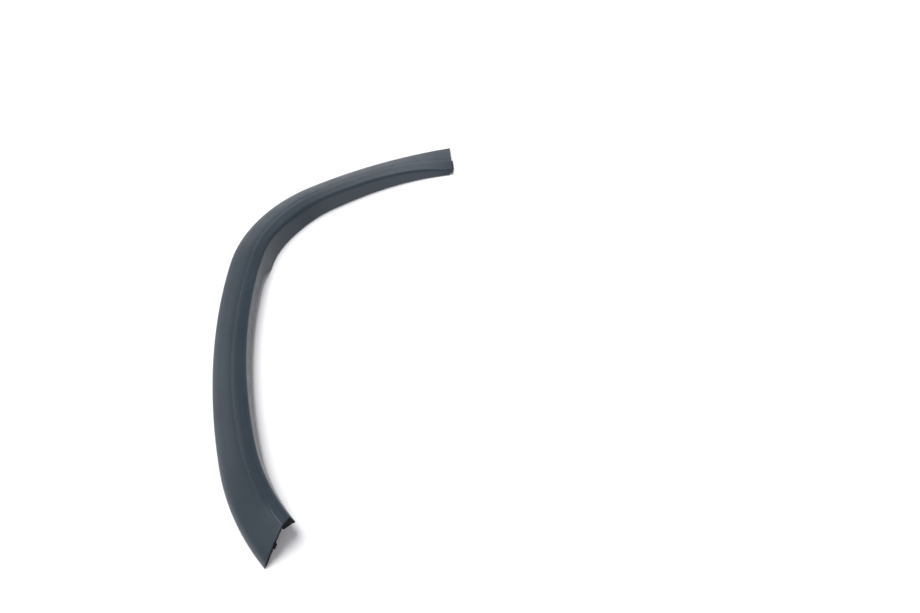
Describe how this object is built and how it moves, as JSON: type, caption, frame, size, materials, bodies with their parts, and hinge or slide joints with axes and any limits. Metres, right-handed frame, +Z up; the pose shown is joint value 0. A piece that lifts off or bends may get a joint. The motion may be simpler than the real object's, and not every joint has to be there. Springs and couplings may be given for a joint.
{
  "type": "wheel arch trim",
  "caption": "One half of a two-part wheel arch moulding: a curved hollow-backed strip with a return flange, a lap tongue at the joint end and clip seats behind.",
  "frame": {"origin": "middle of the box in plan, on the surface that the outer edge rests on", "axes": "+Z up, out of the car's side, with the hollow side down; +Y to the top of the wheel arch, along the longest extent; +X to the middle of the arch"},
  "size_m": [0.4576, 0.6046, 0.0326],
  "materials": {
    "trim": "fine-grained satin moulded plastic, dark blue-grey"
  },
  "bodies": {
    "root": {"arch_trim": "trim"}
  },
  "joints": []
}
